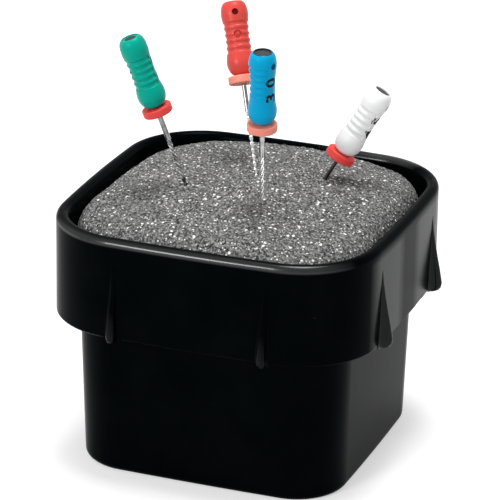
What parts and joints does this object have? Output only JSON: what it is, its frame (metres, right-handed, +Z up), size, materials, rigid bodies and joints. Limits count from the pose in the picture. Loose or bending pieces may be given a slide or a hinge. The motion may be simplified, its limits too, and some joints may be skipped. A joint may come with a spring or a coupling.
{
  "type": "endodontic file stand",
  "caption": "Square black stand with a lift-off finned frame, a speckled foam pillow and leaning root canal hand files with grooved handles and sliding depth stops",
  "frame": {"origin": "centre of the base, on the surface that the stand rests on", "axes": "+Z up, -Y out of the front face, +X to the right seen from the front"},
  "size_m": [0.0474, 0.0474, 0.06],
  "materials": {
    "black_plastic": "glossy moulded black",
    "speckled_foam": "coarse grey foam with pale specks",
    "green_plastic": "satin moulded green",
    "red_plastic": "satin moulded red",
    "blue_plastic": "satin moulded blue",
    "white_plastic": "satin moulded white",
    "blade_steel": "bright ground steel",
    "stop_silicone": "soft matt red silicone"
  },
  "bodies": {
    "stand": {"cup": "black_plastic", "foam_insert": "speckled_foam", "green_handle": "green_plastic", "green_shaft": "blade_steel", "red_handle": "red_plastic", "red_shaft": "blade_steel", "blue_handle": "blue_plastic", "blue_shaft": "blade_steel", "white_handle": "white_plastic", "white_shaft": "blade_steel"},
    "frame": {"clamp_frame": "black_plastic"},
    "green_stop_body": {"green_stop": "stop_silicone"},
    "red_stop_body": {"red_stop": "stop_silicone"},
    "blue_stop_body": {"blue_stop": "stop_silicone"},
    "white_stop_body": {"white_stop": "stop_silicone"}
  },
  "joints": [
    {"name": "frame_lift", "type": "slide", "parent": "stand", "child": "frame", "axis": [0, 0, 1], "range_m": [0, 0.012]},
    {"name": "green_stop_slide", "type": "slide", "parent": "stand", "child": "green_stop_body", "axis": [0.3195, 0.1265, -0.9391], "range_m": [0, 0.009]},
    {"name": "red_stop_slide", "type": "slide", "parent": "stand", "child": "red_stop_body", "axis": [0.2929, -0.363, -0.8846], "range_m": [0, 0.01]},
    {"name": "blue_stop_slide", "type": "slide", "parent": "stand", "child": "blue_stop_body", "axis": [-0.028, 0.1025, -0.9943], "range_m": [0, 0.0095]},
    {"name": "white_stop_slide", "type": "slide", "parent": "stand", "child": "white_stop_body", "axis": [-0.4748, -0.1794, -0.8616], "range_m": [0, 0.0012]}
  ]
}
